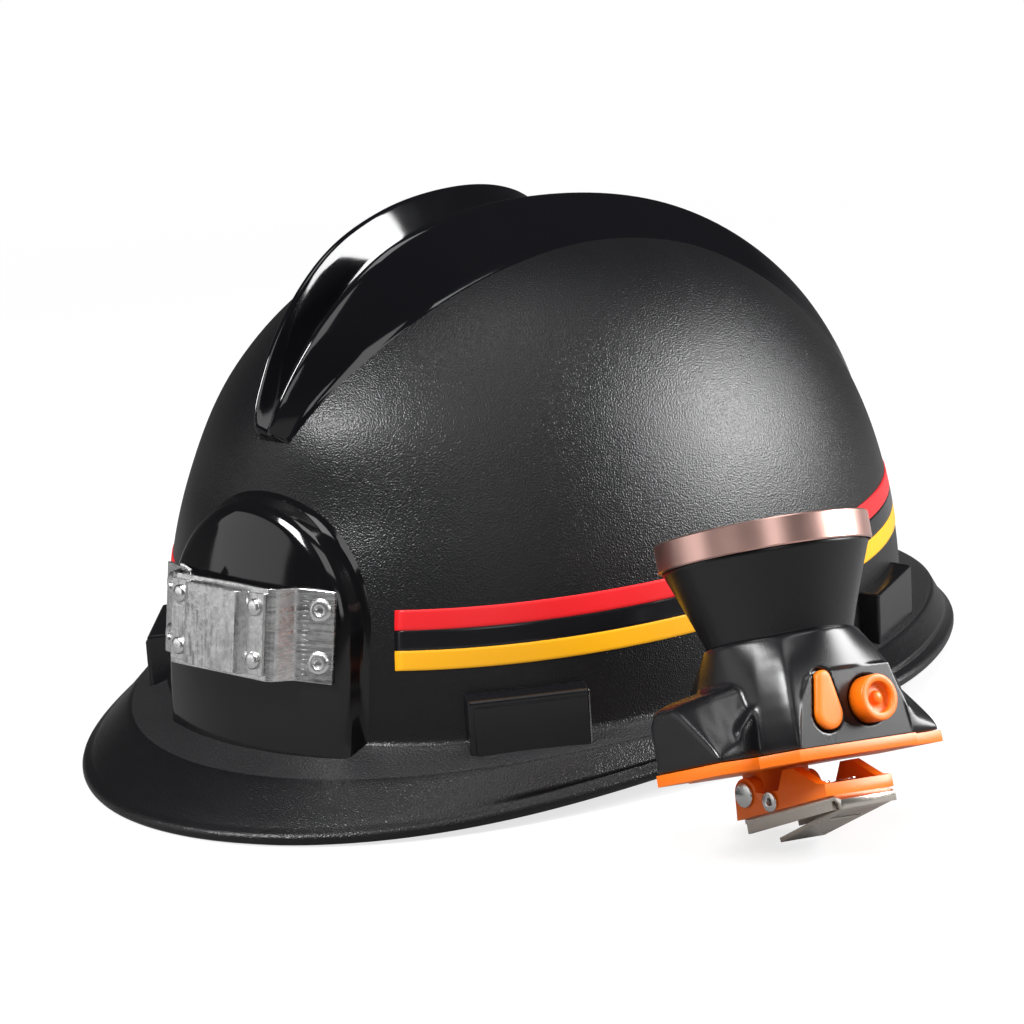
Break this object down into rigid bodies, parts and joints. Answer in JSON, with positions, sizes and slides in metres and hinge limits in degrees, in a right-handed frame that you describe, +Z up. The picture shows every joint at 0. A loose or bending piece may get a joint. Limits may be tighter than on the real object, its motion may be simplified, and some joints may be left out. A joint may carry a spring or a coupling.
{
  "type": "miner helmet",
  "caption": "Hard hat with a full brim, crossed crown ridges, a sheet metal lamp bracket, coloured side stripes and an adjustable liner, with its clip-on cap lamp standing beside it.",
  "frame": {"origin": "centre of the head opening, on the plane that the brim rests on", "axes": "-Y is the way the wearer looks, +X is the wearer's left, +Z points up through the crown"},
  "size_m": [0.2901, 0.305, 0.1469],
  "materials": {
    "shell_black": "satin with a fine grain, gloss on the ridges and the lamp pad",
    "yellow_film": "satin",
    "black_film": "gloss",
    "red_film": "satin",
    "band_plastic": "satin",
    "cradle_plastic": "satin",
    "sweat_cloth": "matte",
    "sheet_aluminium": "brushed",
    "rivet_aluminium": "satin",
    "lamp_black": "satin",
    "lamp_orange": "satin",
    "bezel_metal": "satin rose",
    "lens_clear": "clear",
    "black_rubber": "matte",
    "reflector_mirror": "mirror",
    "led_yellow": "gloss",
    "board_green": "satin",
    "cell_wrap": "satin",
    "spring_steel": "satin",
    "cover_rubber": "satin"
  },
  "bodies": {
    "helmet": {"shell": "shell_black", "yellow_stripe_left": "yellow_film", "black_stripe_left": "black_film", "red_stripe_left": "red_film", "yellow_stripe_right": "yellow_film", "black_stripe_right": "black_film", "red_stripe_right": "red_film", "bracket_base": "sheet_aluminium", "bracket_cover": "sheet_aluminium", "bracket_rivets": "rivet_aluminium", "bracket_eyelets": "rivet_aluminium", "headband": "band_plastic", "sweatband": "sweat_cloth", "cradle": "cradle_plastic", "cradle_keys": "band_plastic", "nape_housing": "band_plastic", "nape_pinion": "cradle_plastic", "nape_cover": "band_plastic"},
    "nape_knob": {"nape_knob": "band_plastic"},
    "lamp_clip": {"clip_carrier": "lamp_orange", "spring_clip": "spring_steel", "clip_rivets": "spring_steel", "pivot_pin": "spring_steel", "cross_pin": "spring_steel"},
    "lamp_head": {"lamp_base": "lamp_orange", "lamp_housing": "lamp_black", "bezel": "bezel_metal", "lens": "lens_clear", "lens_gasket": "black_rubber", "reflector": "reflector_mirror", "led": "led_yellow", "led_board": "board_green", "heat_sink": "rivet_aluminium", "cell": "cell_wrap", "circuit_board": "board_green", "charging_socket": "spring_steel"},
    "switch_button": {"switch_button": "lamp_orange"},
    "port_cover": {"port_cover": "cover_rubber"}
  },
  "joints": [
    {"name": "knob_turn", "type": "hinge", "parent": "helmet", "child": "nape_knob", "pos_m": [0, 0.0934, 0.026], "axis": [0, 1, 0], "range_deg": [-90, 90]},
    {"name": "lamp_lift", "type": "slide", "parent": "helmet", "child": "lamp_clip", "axis": [0, 0, 1], "range_m": [0, 0.25]},
    {"name": "lamp_tilt", "type": "hinge", "parent": "lamp_clip", "child": "lamp_head", "pos_m": [0.1409, -0.07509, 0.01204], "axis": [-0.2297, -0.9653, 0.1241], "range_deg": [0, 25]},
    {"name": "switch_press", "type": "slide", "parent": "lamp_head", "child": "switch_button", "axis": [-0.9212, 0.1745, -0.3477], "range_m": [0, 0.0012], "stiffness_N_per_m": 1200},
    {"name": "port_cover_hinge", "type": "hinge", "parent": "lamp_head", "child": "port_cover", "pos_m": [0.1611, -0.08297, 0.04935], "axis": [-0.2297, -0.9653, 0.1241], "range_deg": [0, 110]}
  ]
}
